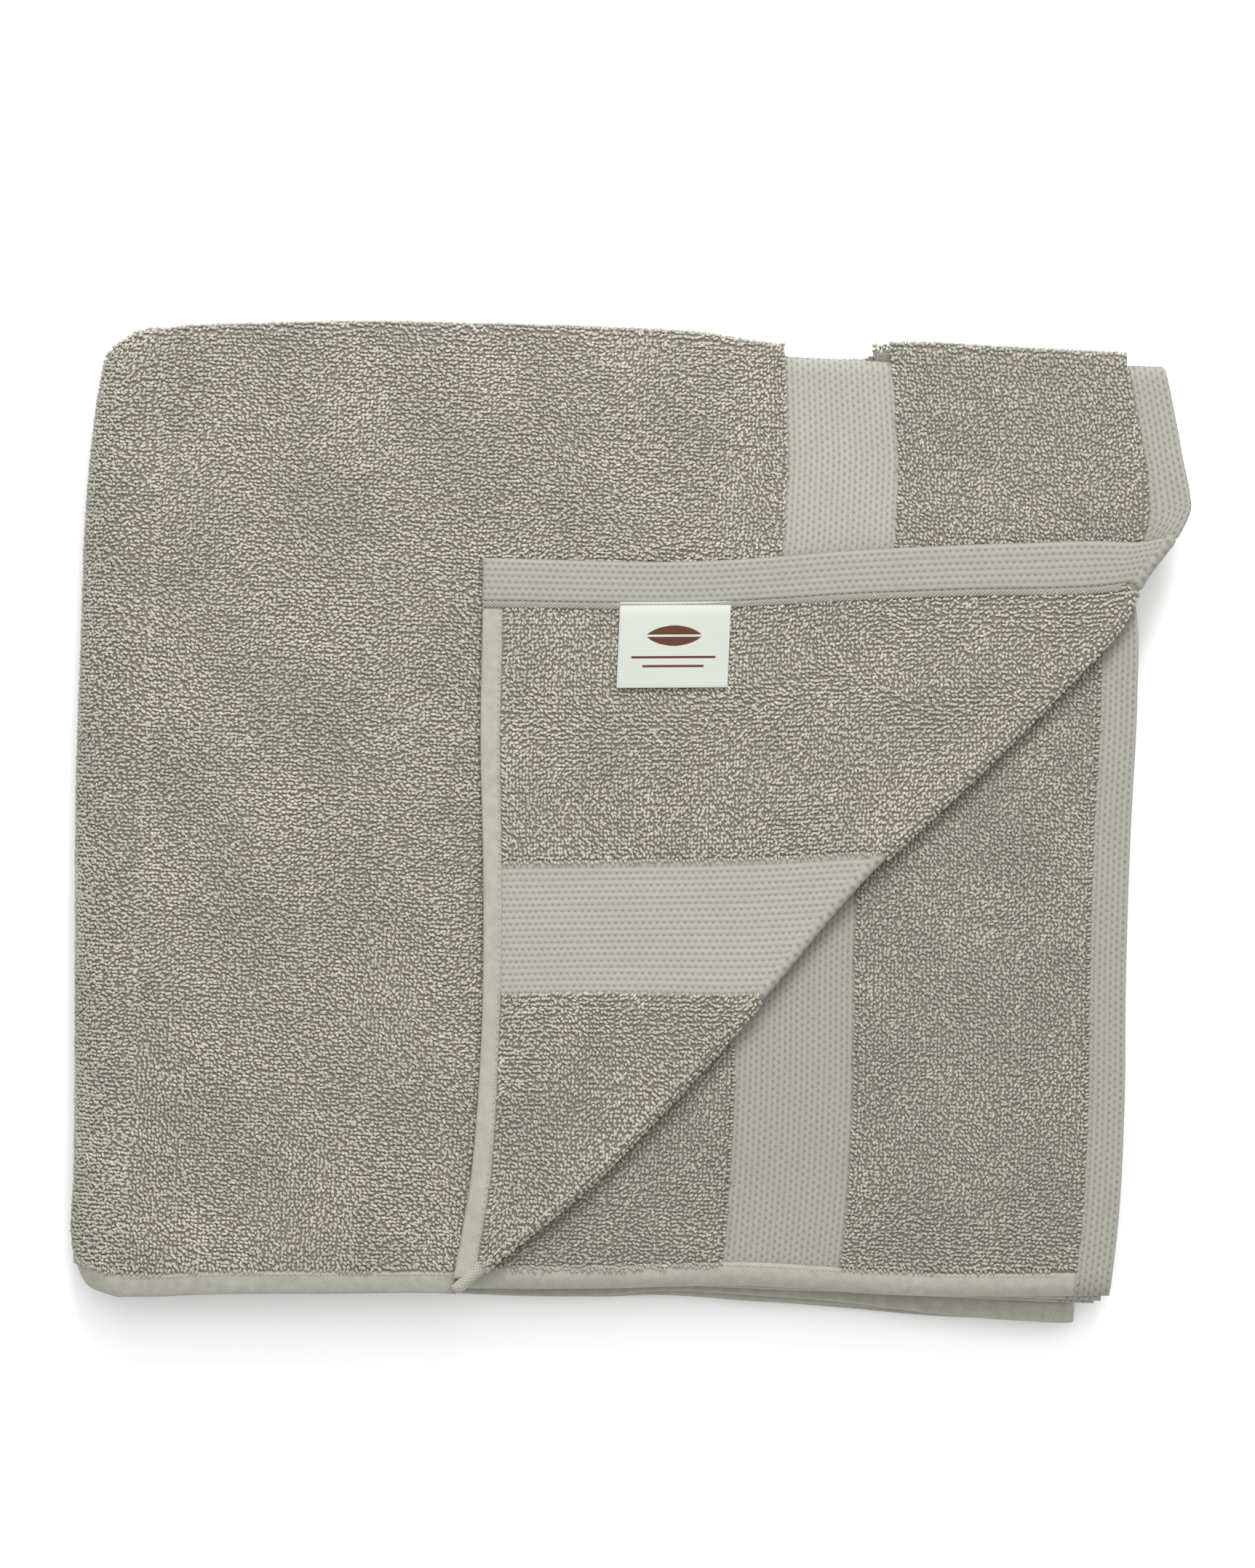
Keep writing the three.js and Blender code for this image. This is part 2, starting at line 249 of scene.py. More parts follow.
def on_right_fold(ply):
    """Cloth from the ply down round the inner crosswise fold, at the right."""
    def place(a, t):
        out, past, y, z, _ = bend(
            right_axis, ply, 3 - ply, a, t, lambda turn: np.full_like(t, straight_back)
        )
        return np.stack([right_axis[0] + 1.3 * out - past, y, z], -1)
    return place


def facing(place, a, t):
    """The cloth's middle surface at each spot: where it is, which way it faces, and its two directions."""
    step = 0.4
    along_a = place(a + step, t) - place(a - step, t)
    along_t = place(a, t + step) - place(a, t - step)
    normal = np.cross(along_a, along_t)
    length = np.linalg.norm(normal, axis=-1, keepdims=True)
    unit = [v / np.maximum(np.linalg.norm(v, axis=-1, keepdims=True), 1e-9) for v in (along_a, along_t)]
    return place(a, t), normal / np.maximum(length, 1e-9), unit[0], unit[1]


def lines(low, high, step, rim):
    """Places from low to high, closer together near both rims, where the cloth's edge is rounded."""
    edge = np.array([0, 0.13, 0.5, 1]) * min(rim, (high - low) / 3)
    count = max(2, int(round((high - low - 2 * edge[-1]) / step)) + 1)
    inner = np.linspace(low + edge[-1], high - edge[-1], count)
    return np.concatenate([low + edge[:-1], inner, high - edge[:-1][::-1]])


def cloth(name, place, across, along, up, down, step, finish, unit=1.0):
    """A closed sheet of cloth with rounded edges, between the two ends in across and the sides along(a)."""
    a = lines(across[0], across[1], step[0], (up + down) / 2)
    sides = [along(v) for v in a]
    rim = (up + down) / 2
    widest = max(s[1] - s[0] for s in sides)
    share = lines(0, 1, step[1] / widest, rim / widest)
    T = np.array([s[0] + (s[1] - s[0]) * share for s in sides])
    A = np.repeat(a[:, None], len(share), 1)
    spot, normal, _, _ = facing(place, A, T)
    inset = np.minimum(
        np.minimum(A - A[0, 0], A[-1, 0] - A),
        np.minimum(T - T[:, :1], T[:, -1:] - T),
    )
    full = np.sqrt(np.clip(1 - (1 - np.clip(inset / rim, 0, 1)) ** 2, 0, 1))[..., None]
    outer = spot + normal * up * full
    inner = spot - normal * down * full
    rows, columns = A.shape
    top = np.arange(rows * columns).reshape(rows, columns)
    under = top + rows * columns
    for border in (np.s_[0, :], np.s_[-1, :], np.s_[:, 0], np.s_[:, -1]):
        under[border] = top[border]
    quads = [
        np.stack([g[:-1, :-1], g[1:, :-1], g[1:, 1:], g[:-1, 1:]], -1).reshape(-1, 4) for g in (top, under)
    ]
    quads[1] = quads[1][:, ::-1]
    faces = np.concatenate(quads)
    points = np.concatenate([outer.reshape(-1, 3), inner.reshape(-1, 3)]) * MM
    used, faces = np.unique(faces, return_inverse=True)
    faces = faces.reshape(-1, 4)
    mesh = bpy.data.meshes.new(name)
    mesh.from_pydata(points[used].tolist(), [], faces.tolist())
    flat = np.concatenate([np.stack([A, T], -1).reshape(-1, 2)] * 2)[used] * MM
    weave = mesh.uv_layers.new(name="Weave")
    weave.data.foreach_set("uv", flat[faces.ravel()].ravel())
    mesh.shade_smooth()
    mesh.materials.append(finish)
    piece = link(name, mesh)
    widths = T[:, -1] - T[:, 0]
    area = float((widths[1:] + widths[:-1]) @ np.diff(a)) / 2
    piece["cut"] = [(a[-1] - a[0]) * unit * MM, float(widths.max()) * MM, area * unit * MM**2]
    return piece


def carry(piece, body):
    """Lets the piece ride one body. When the body is given as a pair with its ends, the piece only has its
    place fixed into its mesh and rides neither.
    """
    if isinstance(body, tuple):
        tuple(body[2])
        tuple(body[3])
        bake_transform(piece)
    else:
        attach(piece, body)


def add_to(piece, body):
    """A piece that goes with the sheet it belongs to: it rides the same body, without cut measures of its
    own.
    """
    del piece["cut"]
    carry(piece, body)
    return piece


def hand_over(piece, body, node, slot):
    length, width, area = piece["cut"]
    del piece["cut"]
    carry(piece, body)
    if node:
        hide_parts(node)
    narrowest, least_share = 0.01, 0.3
    width, length = max(width, narrowest), max(length, narrowest)


def sum_of(operation, turned=False):
    def work(self, other):
        first, second = (other, self) if turned else (self, other)
        return self.finish.node("ShaderNodeMath", {"operation": operation}, {0: first, 1: second})
    return work


class Value:
    """A socket that gives a number in a material, so that sums on it read as sums."""

    def __init__(self, finish, socket):
        self.finish, self.socket = finish, socket

    __add__ = __radd__ = sum_of("ADD")
    __mul__ = __rmul__ = sum_of("MULTIPLY")
    __sub__, __rsub__ = sum_of("SUBTRACT"), sum_of("SUBTRACT", turned=True)
    __pow__ = sum_of("POWER")


class Finish:
    """A material in the making."""

    def __init__(self, name):
        self.material = bpy.data.materials.new(name)
        self.material.use_nodes = True
        self.tree = self.material.node_tree
        self.shader = self.tree.nodes["Principled BSDF"]

    def node(self, kind, settings, sockets, out=0):
        made = self.tree.nodes.new(kind)
        for key, value in settings.items():
            setattr(made, key, value)
        for key, value in sockets.items():
            self.feed(made.inputs[key], value)
        return Value(self, made.outputs[out])

    def feed(self, socket, value):
        if isinstance(value, Value):
            self.tree.links.new(value.socket, socket)
        else:
            socket.default_value = value

    def noise(self, scale, detail=2.0):
        where = self.node("ShaderNodeTexCoord", {}, {}, out="Object")
        return self.node("ShaderNodeTexNoise", {}, {"Vector": where, "Scale": scale, "Detail": detail})

    def mix(self, share, first, second):
        return self.node(
            "ShaderNodeMix", {"data_type": "RGBA"}, {0: share, 6: first + (1,), 7: second + (1,)}, out=2
        )

    def tint(self, colour, share, first, second):
        """The colour multiplied by one that goes from first to second."""
        return self.node(
            "ShaderNodeMix", {"data_type": "RGBA", "blend_type": "MULTIPLY"},
            {0: 1.0, 6: colour, 7: self.mix(share, first, second)}, out=2,
        )

    def weave(self):
        """How far along and across the flat cloth a spot lies, in metres."""
        where = self.node("ShaderNodeUVMap", {"uv_map": "Weave"}, {})
        split = self.tree.nodes.new("ShaderNodeSeparateXYZ")
        self.tree.links.new(where.socket, split.inputs[0])
        return Value(self, split.outputs[0]), Value(self, split.outputs[1])

    def bump(self, height, strength, distance):
        return self.node(
            "ShaderNodeBump", {}, {"Height": height, "Strength": strength, "Distance": distance}
        )

    def coat(self, colour, roughness, normal, sheen=0.0):
        for label, value in (
            ("Base Color", colour), ("Roughness", roughness), ("Normal", normal), ("Sheen Weight", sheen),
            ("Sheen Roughness", 0.6), ("Specular IOR Level", 0.15),
        ):
            self.feed(self.shader.inputs[label], value)
        return self.material


def wave_on(value, spacing):
    """A wave from 0 to 1 that repeats at the spacing."""
    angle = value * (2 * math.pi / spacing)
    return value.finish.node("ShaderNodeMath", {"operation": "COSINE"}, {0: angle}) * 0.5 + 0.5

# The terry's ground cloth, painted far darker than the loops' yarn: painted shade down between the loops,
# with random tone in soft patches.
made = Finish("terry ground")
patches = made.noise(35)
fine = made.noise(900, 3)
colour = made.mix(fine, (0.11, 0.1, 0.077), (0.22, 0.206, 0.164))
colour = made.tint(colour, patches, (0.85, 0.85, 0.85), (1.1, 1.1, 1.1))
ground_finish = made.coat(colour, 0.95, made.bump(fine, 0.9, 0.0009), sheen=0.15)

# Cotton loops, with painted shade: pale at their crowns where the light reaches, darker down towards their
# roots where shade falls between them. Each loop is a little different, and on the second ply darker as
# painted shade.
made = Finish("loop yarn")
crown = made.node("ShaderNodeAttribute", {"attribute_name": "crown"}, {}, out="Fac")
shade = made.node("ShaderNodeAttribute", {"attribute_name": "shade"}, {}, out="Fac")
twist = made.noise(1600, 1)
colour = made.mix(crown * 0.85 + shade * 0.15, (0.13, 0.116, 0.089), (0.425, 0.406, 0.34))
colour = made.tint(colour, shade, (0.76, 0.76, 0.77), (1.13, 1.13, 1.1))
loop_finish = made.coat(colour, 0.9 + twist * 0.08, made.bump(twist, 0.5, 0.0004), sheen=0.25)


def bead(name, ring, length, width, crown_height, root_depth, ridge):
    """A closed grain-shaped form for one loop of yarn: a root, a ring, and a ridge or a point on top."""
    angles = [2 * math.pi * (k + 0.5) / ring for k in range(ring)]
    points = [(0, 0, -root_depth)] + [(length / 2 * math.cos(t), width / 2 * math.sin(t), 0) for t in angles]
    points += [(ridge, 0, crown_height), (-ridge, 0, crown_height)] if ridge else [(0, 0, crown_height)]
    first, second = ring + 1, len(points) - 1
    faces = []
    for k in range(ring):
        here, after = 1 + k, 1 + (k + 1) % ring
        forward = points[here][0] + points[after][0] > 0
        faces += [(0, after, here), (here, after, first if forward else second)]
        if ridge and abs(points[here][0]) < 1e-6:
            faces.append((here, first, second))
    mesh = bpy.data.meshes.new(name)
    mesh.from_pydata([[c * MM for c in p] for p in points], [], faces)
    solid = bmesh.new()
    solid.from_mesh(mesh)
    bmesh.ops.recalc_face_normals(solid, faces=solid.faces)
    solid.to_mesh(mesh)
    solid.free()
    mesh.shade_smooth()
    # crown: 0 at the root, 0.62 on the ring, 1 on top; the loop finish turns it into painted shade between
    # loops.
    height = mesh.attributes.new("crown", "FLOAT", "POINT")
    height.data.foreach_set("value", [0.0] + [0.62] * ring + [1.0] * (len(points) - ring - 1))
    form = link(name, mesh)
    form.hide_render = True
    return form


def planting_tree():
    """A node tree that sets a form on every point of a mesh, turned as the point's attributes say."""
    tree = bpy.data.node_groups.new("plant forms on cloth", "GeometryNodeTree")
    tree.interface.new_socket("Cloth points", in_out="INPUT", socket_type="NodeSocketGeometry")
    for label, kind in (
        ("Form", "NodeSocketObject"), ("Finish", "NodeSocketMaterial"),
        ("Least size", "NodeSocketFloat"), ("Greatest size", "NodeSocketFloat"), ("Seed", "NodeSocketInt"),
    ):
        tree.interface.new_socket(label, in_out="INPUT", socket_type=kind)
    tree.interface.new_socket("Planted", in_out="OUTPUT", socket_type="NodeSocketGeometry")
    add, join = tree.nodes.new, tree.links.new
    given, result = add("NodeGroupInput"), add("NodeGroupOutput")
    form = add("GeometryNodeObjectInfo")
    join(given.outputs["Form"], form.inputs["Object"])
    named = {}
    for label in ("stands", "along", "size"):
        named[label] = add("GeometryNodeInputNamedAttribute")
        named[label].data_type = "FLOAT_VECTOR"
        named[label].inputs["Name"].default_value = label
    turn = add("FunctionNodeAxesToRotation")
    turn.primary_axis, turn.secondary_axis = "Z", "X"
    join(named["stands"].outputs["Attribute"], turn.inputs[0])
    join(named["along"].outputs["Attribute"], turn.inputs[1])
    dice = add("FunctionNodeRandomValue")
    dice.data_type = "FLOAT"
    number_in = [s for s in dice.inputs if s.type == "VALUE" and s.enabled]
    join(given.outputs["Least size"], number_in[0])
    join(given.outputs["Greatest size"], number_in[1])
    join(given.outputs["Seed"], dice.inputs["Seed"])
    scaled = add("ShaderNodeVectorMath")
    scaled.operation = "SCALE"
    join(named["size"].outputs["Attribute"], scaled.inputs[0])
    join([s for s in dice.outputs if s.type == "VALUE" and s.enabled][0], scaled.inputs["Scale"])
    plant = add("GeometryNodeInstanceOnPoints")
    join(given.outputs["Cloth points"], plant.inputs["Points"])
    join(form.outputs["Geometry"], plant.inputs["Instance"])
    join(turn.outputs[0], plant.inputs["Rotation"])
    join(scaled.outputs[0], plant.inputs["Scale"])
    real = add("GeometryNodeRealizeInstances")
    join(plant.outputs[0], real.inputs[0])
    finish = add("GeometryNodeSetMaterial")
    join(real.outputs[0], finish.inputs["Geometry"])
    join(given.outputs["Finish"], finish.inputs["Material"])
    join(finish.outputs[0], result.inputs[0])
    return tree


planting = planting_tree()
plush_loop = bead("plush_loop_form", 6, 1.95, 1.35, 0.75, 1.15, 0.42)
small_loop = bead("small_loop_form", 4, 2.3, 1.9, 0.8, 1.0, 0)


def plant(name, roots, stands, along, size, shade, flat, form, finish, seed, spread=0.14):
    """Makes one form per root into a single plain mesh, with a flat map of where each stands on the cloth."""
    mesh = bpy.data.meshes.new(name)
    mesh.from_pydata((roots * MM).tolist(), [], [])
    for label, values in (("stands", stands), ("along", along), ("size", size)):
        mesh.attributes.new(label, "FLOAT_VECTOR", "POINT").data.foreach_set(
            "vector", np.ascontiguousarray(values, dtype=np.float32).ravel()
        )
    mesh.attributes.new("shade", "FLOAT", "POINT").data.foreach_set("value", shade.astype(np.float32))
    piece = link(name, mesh)
    modifier = piece.modifiers.new("plant", "NODES")
    modifier.node_group = planting
    sockets = {s.name: s.identifier for s in planting.interface.items_tree if s.in_out == "INPUT"}
    for label, value in (
        ("Form", form), ("Finish", finish), ("Seed", seed),
        ("Least size", 1 - spread), ("Greatest size", 1 + spread),
    ):
        modifier[sockets[label]] = value
    made = bpy.data.meshes.new_from_object(piece.evaluated_get(bpy.context.evaluated_depsgraph_get()))
    piece.modifiers.clear()
    piece.data = made
    each = len(form.data.vertices)
    spots = np.zeros(len(made.vertices) * 3)
    made.vertices.foreach_get("co", spots)
    off = spots.reshape(-1, each, 3) / MM - roots[:, None, :]
    side = np.cross(stands, along)
    map_turn = np.arctan2(flat[:, 3], flat[:, 2])
    forth, aside = np.einsum("nek,nk->ne", off, along), np.einsum("nek,nk->ne", off, side)
    u = flat[:, None, 0] + forth * np.cos(map_turn)[:, None] - aside * np.sin(map_turn)[:, None]
    v = flat[:, None, 1] + forth * np.sin(map_turn)[:, None] + aside * np.cos(map_turn)[:, None]
    u, v = (u - u.min()).ravel(), (v - v.min()).ravel()
    largest = max(u.max(), v.max())
    layer = made.uv_layers.new(name="OFBake")
    corner = np.zeros(len(made.loops), int)
    made.loops.foreach_get("vertex_index", corner)
    layer.data.foreach_set("uv", (np.stack([u, v], -1)[corner] / largest).ravel())
    return piece


def near_edge(distance):
    """1 at a border, falling to 0 where loops no longer splay."""
    return np.clip(1 - distance / 3.2, 0, 1)


def sow(
    place, across, along, spacing, lift, seed, way, tilt, under=False, big=1.0, tone_and_painted_shade=0.5, front=0.3,
    close=1.0, free=(1, 1),
):
    """Spots for the loops of one area of cloth. They lean to way(a, t), and splay at its free borders."""
    dice = np.random.default_rng(seed)
    a = np.arange(across[0] + spacing * 0.45, across[1], spacing * close)
    sides = np.array([along(v) for v in a])
    t = np.arange(sides[:, 0].min() + spacing * 0.45, sides[:, 1].max(), spacing)
    A, T = np.meshgrid(a, t, indexing="ij")
    inside = (T > sides[:, :1]) & (T < sides[:, 1:])
    from_front = (T - sides[:, :1])[inside]
    A, T = A[inside], T[inside]
    left_rim = near_edge(A - across[0]) * free[0]
    right_rim = near_edge(across[1] - A) * free[1]
    front_rim = near_edge(from_front) * (front > 0)
    scatter = 0.2 * spacing
    A = A + dice.normal(0, scatter, A.shape)
    T = T + dice.normal(0, scatter, T.shape)
    spot, normal, ahead, aside = facing(place, A, T)
    if under:
        normal = -normal
    angle = way(A, T) + dice.normal(0, 0.35, A.shape)
    lean = tilt(A, T) * dice.uniform(0.5, 1.5, A.shape)
    towards = ahead * (np.cos(angle) * lean + 0.75 * (right_rim - left_rim))[:, None]
    towards = towards + aside * (np.sin(angle) * lean - 0.9 * front_rim)[:, None]
    stands = normal + towards
    stands /= np.linalg.norm(stands, axis=-1, keepdims=True)
    grain = angle + math.pi / 2 + dice.normal(0, 0.42, A.shape)
    along_yarn = ahead * np.cos(grain)[:, None] + aside * np.sin(grain)[:, None]
    splayed = np.maximum.reduce((left_rim, right_rim, front_rim))
    along_yarn = along_yarn * (1 - splayed)[:, None] + towards * splayed[:, None]
    along_yarn = along_yarn - stands * np.sum(along_yarn * stands, -1, keepdims=True)
    along_yarn = along_yarn + ahead * 1e-4
    along_yarn /= np.linalg.norm(along_yarn, axis=-1, keepdims=True)
    size = np.ones(A.shape + (3,)) * big
    size[:, 0] *= dice.uniform(0.8, 1.3, A.shape) * (1 + front * front_rim + 0.12 * splayed)
    size[:, 1] *= dice.uniform(0.8, 1.1, A.shape)
    size[:, 2] *= dice.uniform(0.8, 1.25, A.shape) * (1 + 0.25 * splayed)
    # Each loop's tone: random, in soft patches, about the given base. The second ply's low base is painted
    # shade.
    patches = 0.15 * ripple(A, T, 60, 11) + 0.1 * ripple(A, T, 22, 12)
    shade = np.clip(tone_and_painted_shade + 0.18 * dice.normal(0, 1, A.shape) + patches, 0, 1)
    flat = np.stack([A, T, np.cos(grain), np.sin(grain)], -1)
    return spot + normal * lift, stands, along_yarn, size, shade, flat


def plush_lean(a, t):
    """The open field's loops lean over, less so near the border band."""
    return np.clip(0.5 - 0.3 * np.clip((a + 60) / 110, 0, 1) + 0.2 * ripple(a, t, 50, 31), 0.08, 0.8)


def plush_way(a, t):
    """They lean towards the front, and at the lower left towards the left fold as well."""
    slanting = 0.9 * np.clip(-t / 150, 0, 1) * np.clip((60 - a) / 150, 0, 1)
    return -1.5 * np.clip((50 - a) / 45, 0, 1) - slanting + 0.6 * ripple(a, t, 60, 32)


def in_columns(a, t):
    """Here the loops stand in columns, but near the front edge they lie in rows."""
    return 0.5 * ripple(a, t, 50, 33) - 1.4 * np.clip((-125 - t) / 40, 0, 1)


def straight_up(a, t):
    return 0.15 + 0 * a


def loose(a, t):
    return 0.32 + 0.2 * ripple(a, t, 40, 21)


def wander(a, t):
    return 1.6 * ripple(a, t, 45, 22) - 1.6


def terry_area(name, body, spots, form=None, seed=1):
    """The loops of one area as pieces of pile, split so that none grows too heavy."""
    form = form or plush_loop
    most_triangles = 199000
    most = most_triangles // sum(len(p.vertices) - 2 for p in form.data.polygons)
    parts = math.ceil(len(spots[0]) / most)
    for k in range(parts):
        part = [s[len(s) * k // parts:len(s) * (k + 1) // parts] for s in spots]
        label = name if parts == 1 else f"{name}_{k + 1}"
        piece = plant(label, *part, form, loop_finish, seed + k)
        carry(piece, body)


hem_width = 9.5
hem_lap = 0.6


def terry_front(ply, x):
    return front_edge(ply, x) + hem_width - hem_lap


for ply in range(4):
    name = PLIES[ply]
    hand_over(cloth(
        f"{name}_ply_terry_cloth", on_ply(ply), (left_axis[0], right_axis[0]),
        lambda x, p=ply: (terry_front(p, x), lower_back(x) + (turnover if p % 2 else 0)),
        hidden_core, hidden_core, (7, 5), ground_finish,
    ), "lower_half", f"{name}_ply_terry", "terry")


def round_back(edge, share=1):
    """The two sides of the strip of pile that shows where the cloth turns over at the back."""
    return edge - 1.5, edge + share * math.pi * curl + 0.6


# Pile shows on the back folds of the lower plies. On the lowest one it stops short of the floor.
for ply, turned in ((1, 0.75), (3, 1)):
    terry_area(f"{PLIES[ply]}_ply_back_pile", "lower_half", sow(
        on_ply(ply), (left_axis[0], right_axis[0]), lambda x: round_back(lower_back(x), turned),
        1.8, hidden_core + 0.2, 40 + ply, wander, loose, front=0,
    ), seed=ply)

# The fifth ply's upper face is bared when the pad is opened. Its loops have been pressed flat.
# Right beside the fold there are none, so that the halves do not meet there as the pad opens.
pressed_loop = bead("pressed_loop", 4, 3.4, 1.9, 0.62, 0.3, 0)
pressed_pitch = 2.65
fold_clear = 6


def pressed_lean(a, t):
    return 0.12 + 0 * a


terry_area("fifth_ply_bared_pile", "lower_half", sow(
    on_ply(3), (left_axis[0] + fold_clear, right_axis[0]), lambda x: (terry_front(3, x), lower_back(x)),
    pressed_pitch, hidden_core, 48, wander, pressed_lean, front=0,
), pressed_loop, 48)

# ---- Lower half: side hems of the bottom four plies ----
# The towel's long edge is turned over and stitched down flat, 9.5 mm wide, in a plain tight weave.
# From the front each ply shows as one such hem, the lower ones a little further out.
hem_half = 1.3

made = Finish("plain weave")
a, t = made.weave()
thread = 0.0012
warp, weft = wave_on(a, thread), wave_on(t, thread * 0.9)
checks = warp * weft + (1 - warp) * (1 - weft)
worn = made.noise(260, 3)
colour = made.mix(checks * 0.6 + worn * 0.4, (0.13, 0.126, 0.103), (0.44, 0.435, 0.372))
hem_finish = made.coat(colour, 0.88, made.bump(checks * 0.7 + worn * 0.6, 0.55, 0.0003), sheen=0.1)

for ply in range(4):
    name = PLIES[ply]
    hand_over(cloth(
        f"{name}_ply_side_hem_cloth", on_ply(ply), (left_axis[0], right_axis[0]),
        lambda x, p=ply: (front_edge(p, x), front_edge(p, x) + hem_width),
        hem_half, hem_half, (5, 1.6), hem_finish,
    ), "lower_half", f"{name}_ply_side_hem", "hem")

# ---- Lower half: right folds ----
# The second crosswise fold: the fifth ply turns over into the bottom one, and the sixth into the
# seventh inside it. Terry and side hem run round together.
lap = 3.0
short_of_floor = 5


def front_round(ply, partner, at, whole):
    """Where the front edge lies on the way round a crosswise fold, from one ply to its partner."""
    def here(a):
        start, finish = front_edge(ply, at), front_edge(partner, at)
        return start + (finish - start) * min(max(a / whole, 0), 1)
    return here


def round_fold(name, body, place, ends, front, back, thick):
    """The terry and the side hem of one crosswise fold. front and back give its two sides."""
    hand_over(cloth(
        f"{name}_terry_cloth", place, ends, lambda a: (front(a) + hem_width - hem_lap, back(a)),
        thick, 1.2, (1.6, 5), ground_finish,
    ), body, f"{name}_terry", "terry")
    hand_over(cloth(
        f"{name}_side_hem_cloth", place, ends, lambda a: (front(a), front(a) + hem_width),
        hem_half, hem_half * 0.9, (1.2, 1.6), hem_finish,
    ), body, f"{name}_side_hem", "hem")


for label, ply in (("outer", 3), ("inner", 2)):
    round_length = math.pi * (middle(ply) - right_axis[1])
    front = front_round(ply, 3 - ply, right_axis[0], round_length)
    round_fold(
        f"{label}_right_fold", "lower_half", on_right_fold(ply), (-lap, round_length + lap), front,
        lambda a: straight_back + (turnover if ply % 2 else 0), hidden_core,
    )
    if ply == 3:
        terry_area("outer_right_fold_pile", "lower_half", sow(
            on_right_fold(ply), (0, round_length - short_of_floor),
            lambda a: (front(a) + hem_width - 0.4, 188 + turnover),
            1.8, hidden_core + 0.1, 50, wander, loose,
        ), seed=50)

# ---- Left folds ----
# The outer crosswise fold: each upper ply turns down into the ply as far below the middle, in four
# nested rounds. The cloth is limp here.
FOLDS = ("inner", "third", "second", "outer")
loop_lift = 0.42
loop_foot = terry_core + loop_lift
loop_pitch = 1.57

for ply in (4, 5, 6, 7):
    name = FOLDS[ply - 4]
    round_length = math.pi * (middle(ply) - left_axis[1])
    halves = (
        "lower_half", "upper_half",
        (left_axis[0] * MM, 0, middle(7 - ply) * MM), (left_axis[0] * MM, 0, middle(ply) * MM),
    )

    front = front_round(ply, 7 - ply, left_axis[0], -round_length)

    def back(a):
        turn = min(max(-a / round_length, 0), 1) * math.pi
        return left_back - left_dip * math.sin(turn) ** 3 + (turnover if ply % 2 else 0)

    outermost = ply == 7
    round_fold(
        f"{name}_left_fold", halves, on_left_fold(ply), (-round_length - lap, lap), front, back,
        terry_core if outermost else 1.5,
    )
    if outermost or ply == 5:
        terry_area(f"{name}_left_fold_pile", halves, sow(
            on_left_fold(ply), (-round_length + 7, 2.6),
            lambda a: (front(a) + hem_width - 0.4 if outermost else back(a) - turnover, back(a) + 0.5),
            loop_pitch, loop_foot, 60 + ply, plush_way, plush_lean, close=0.68, free=(0, 0),
        ), seed=60)

# ---- Upper half: the fourth and third plies ----
# The towel's ends lie in this half. Every end has a plush field, a flat dobby band, a last strip of
# plush and a hem turned over and stitched. These two plies are hidden but for their edges.
band_half = 0.9
band_recess = 0.6
end_hem_half = 1.6
band_back = 181.5
hem_back = 184.0
# Where the band, the end strip and the end hem of each ply start, and where the cloth ends.
ENDS = {
    4: (37, 84, 175.5, 191.5),
    5: (39, 86, 177.5, 193.5),
    6: (43.6, 91.2, 182.8, 197.6),
    7: (54.3, 98.7, 195.6, 211.2),
}


def dobby_weave(name, pale, deep):
    """Half-drop chains of warp over weft, with a dark eye beside each link."""
    made = Finish(name)
    a, t = made.weave()
    across, down = 0.0044, 0.0030
    one, other = wave_on(a, across), wave_on(t, down)
    eyes = one**7 * other**2 + (1 - one) ** 7 * (1 - other) ** 2
    cords = wave_on(a + wave_on(t, down) * 0.0004, across / 2)
    worn = made.noise(420, 3)
    colour = made.mix(eyes * 0.6 + cords * cords * 0.26 + worn * 0.3, pale, deep)
    return made.coat(colour, 0.86, made.bump(1 - eyes * 0.7 - cords * 0.3, 0.6, 0.0004), sheen=0.12)


dobby_finish = dobby_weave("dobby weave", (0.304, 0.301, 0.262), (0.159, 0.156, 0.133))
hem_dobby_finish = dobby_weave("hem dobby weave", (0.276, 0.273, 0.237), (0.138, 0.135, 0.115))
shaded_dobby_finish = dobby_weave("shaded dobby weave", (0.268, 0.264, 0.23), (0.14, 0.138, 0.116))


def end_sway(ply, x, y):
    """The end of the cloth isn't quite straight: the top ply's leans in, and the second's waves."""
    if ply == 7:
        turned_in = (
            (100, -4), (112, 0), (120, 4.2), (129, 7), (137, 3.4), (146, 0.2), (154, -2), (163, -4),
            (171, -6), (180, -8.2), (188, -10.5),
        )
        sway = through(turned_in, y)
        return sway * np.where(sway > 0, np.clip((x - 190) / 21, 0, 1), np.clip((x + 20) / 231, 0, 1))
    if ply == 6:
        wave = (
            (-180, -0.4), (-150, 1.6), (-105, 1.9), (-55, 0), (0, -1), (60, -1), (85, -2), (96, -3.6),
            (106, -4.4), (190, -4.4),
        )
        return through(wave, y) * np.clip((x + 20) / 110, 0, 1)
    return 0.6 * np.sin(y / 50 + ply) * np.clip((x + 20) / 110, 0, 1)


fold_start, fold_end = np.array((-60.5, -192.0)), np.array((211.5, 117.5))
fold_length = float(np.linalg.norm(fold_start - fold_end))
along_fold = (fold_end - fold_start) / fold_length
out_of_fold = np.array((along_fold[1], -along_fold[0]))


def fold_bulge(from_end):
    """How far the diagonal fold stands out from a straight line, with its waves."""
    stops = (
        (0, -6.2), (12.5, -5.4), (19, -4.8), (26, -3.2), (36, 0), (72, 1.6), (125, 0.7), (150, -0.6),
        (177, -2), (205, -0.8), (233, 1.5), (294, 4), (345, 3.6), (387, -1.2), (412, -2.5),
    )
    return through(stops, from_end)


def fold_softness(from_end):
    """How far in from the fold its waves can be seen: less at the stiff end hem."""
    return 10 + 16 * np.clip((from_end - 20) / 30, 0, 1)


